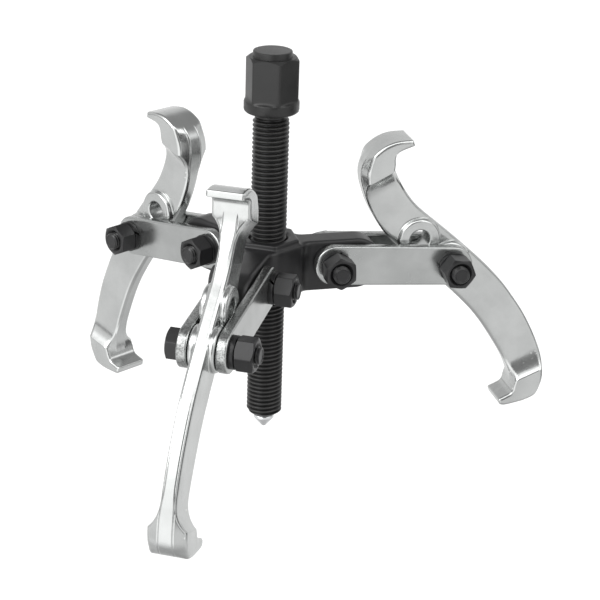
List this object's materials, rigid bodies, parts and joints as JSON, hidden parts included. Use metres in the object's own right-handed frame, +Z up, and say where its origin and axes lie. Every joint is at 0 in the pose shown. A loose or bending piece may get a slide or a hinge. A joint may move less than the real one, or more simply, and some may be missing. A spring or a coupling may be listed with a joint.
{
  "type": "gear puller",
  "caption": "Reversible jaw puller: a hexagon-headed forcing screw through a star-shaped yoke, strap links on pivot bolts and double-ended hooked jaws.",
  "frame": {"origin": "flat at the tip of the screw's centre point", "axes": "+Z up along the forcing screw, from the tip to the hexagon; the front arm lies along -Y, the right arm at 30 degrees and the left arm at 150 degrees from +X"},
  "size_m": [0.2297, 0.2078, 0.1841],
  "materials": {
    "plated_steel": "satin nickel-plated forging and strip",
    "black_steel": "satin black oxide",
    "black_fastener": "satin black oxide",
    "spring_washer": "satin black oxide",
    "bright_steel": "turned and polished"
  },
  "bodies": {
    "yoke": {"yoke": "black_steel"},
    "centre_point": {"centre_point": "bright_steel"},
    "forcing_screw": {"forcing_screw": "black_steel"},
    "right_link": {"right_strap_nut_side": "plated_steel", "right_strap_head_side": "plated_steel", "right_hub_bolt": "black_fastener", "right_hub_washer": "spring_washer", "right_hub_nut": "black_fastener", "right_jaw_bolt": "black_fastener", "right_jaw_washer": "spring_washer", "right_jaw_nut": "black_fastener"},
    "right_jaw": {"right_jaw": "plated_steel"},
    "left_link": {"left_strap_nut_side": "plated_steel", "left_strap_head_side": "plated_steel", "left_hub_bolt": "black_fastener", "left_hub_washer": "spring_washer", "left_hub_nut": "black_fastener", "left_jaw_bolt": "black_fastener", "left_jaw_washer": "spring_washer", "left_jaw_nut": "black_fastener"},
    "left_jaw": {"left_jaw": "plated_steel"},
    "front_link": {"front_strap_nut_side": "plated_steel", "front_strap_head_side": "plated_steel", "front_hub_bolt": "black_fastener", "front_hub_washer": "spring_washer", "front_hub_nut": "black_fastener", "front_jaw_bolt": "black_fastener", "front_jaw_washer": "spring_washer", "front_jaw_nut": "black_fastener"},
    "front_jaw": {"front_jaw": "plated_steel"}
  },
  "joints": [
    {"name": "screw_feed", "type": "slide", "parent": "yoke", "child": "centre_point", "axis": [0, 0, 1], "range_m": [-0.055, 0.06]},
    {"name": "screw_turn", "type": "hinge", "parent": "centre_point", "child": "forcing_screw", "pos_m": [0, 0, 0.1766], "axis": [0, 0, 1], "range_deg": [-9910, 10810]},
    {"name": "right_link_swing", "type": "hinge", "parent": "yoke", "child": "right_link", "pos_m": [0.02459, 0.0142, 0.0808], "axis": [0.5, -0.866, 0], "range_deg": [-21, 29]},
    {"name": "right_jaw_swing", "type": "hinge", "parent": "right_link", "child": "right_jaw", "pos_m": [0.07211, 0.04163, 0.07696], "axis": [-0.5, 0.866, 0], "range_deg": [-6.5, 54]},
    {"name": "left_link_swing", "type": "hinge", "parent": "yoke", "child": "left_link", "pos_m": [-0.02459, 0.0142, 0.0808], "axis": [0.5, 0.866, 0], "range_deg": [-15, 35]},
    {"name": "left_jaw_swing", "type": "hinge", "parent": "left_link", "child": "left_jaw", "pos_m": [-0.0715, 0.04128, 0.07125], "axis": [-0.5, -0.866, 0], "range_deg": [-11.9, 48.6]},
    {"name": "front_link_swing", "type": "hinge", "parent": "yoke", "child": "front_link", "pos_m": [0, -0.0284, 0.0808], "axis": [-1, 0, 0], "range_deg": [-18.6, 31.4]},
    {"name": "front_jaw_swing", "type": "hinge", "parent": "front_link", "child": "front_jaw", "pos_m": [0, -0.08306, 0.07467], "axis": [1, 0, 0], "range_deg": [-4.9, 55.6]}
  ],
  "couplings": [
    {"joint": "screw_turn", "follows": "screw_feed", "rad_per_m": 3141.6}
  ]
}
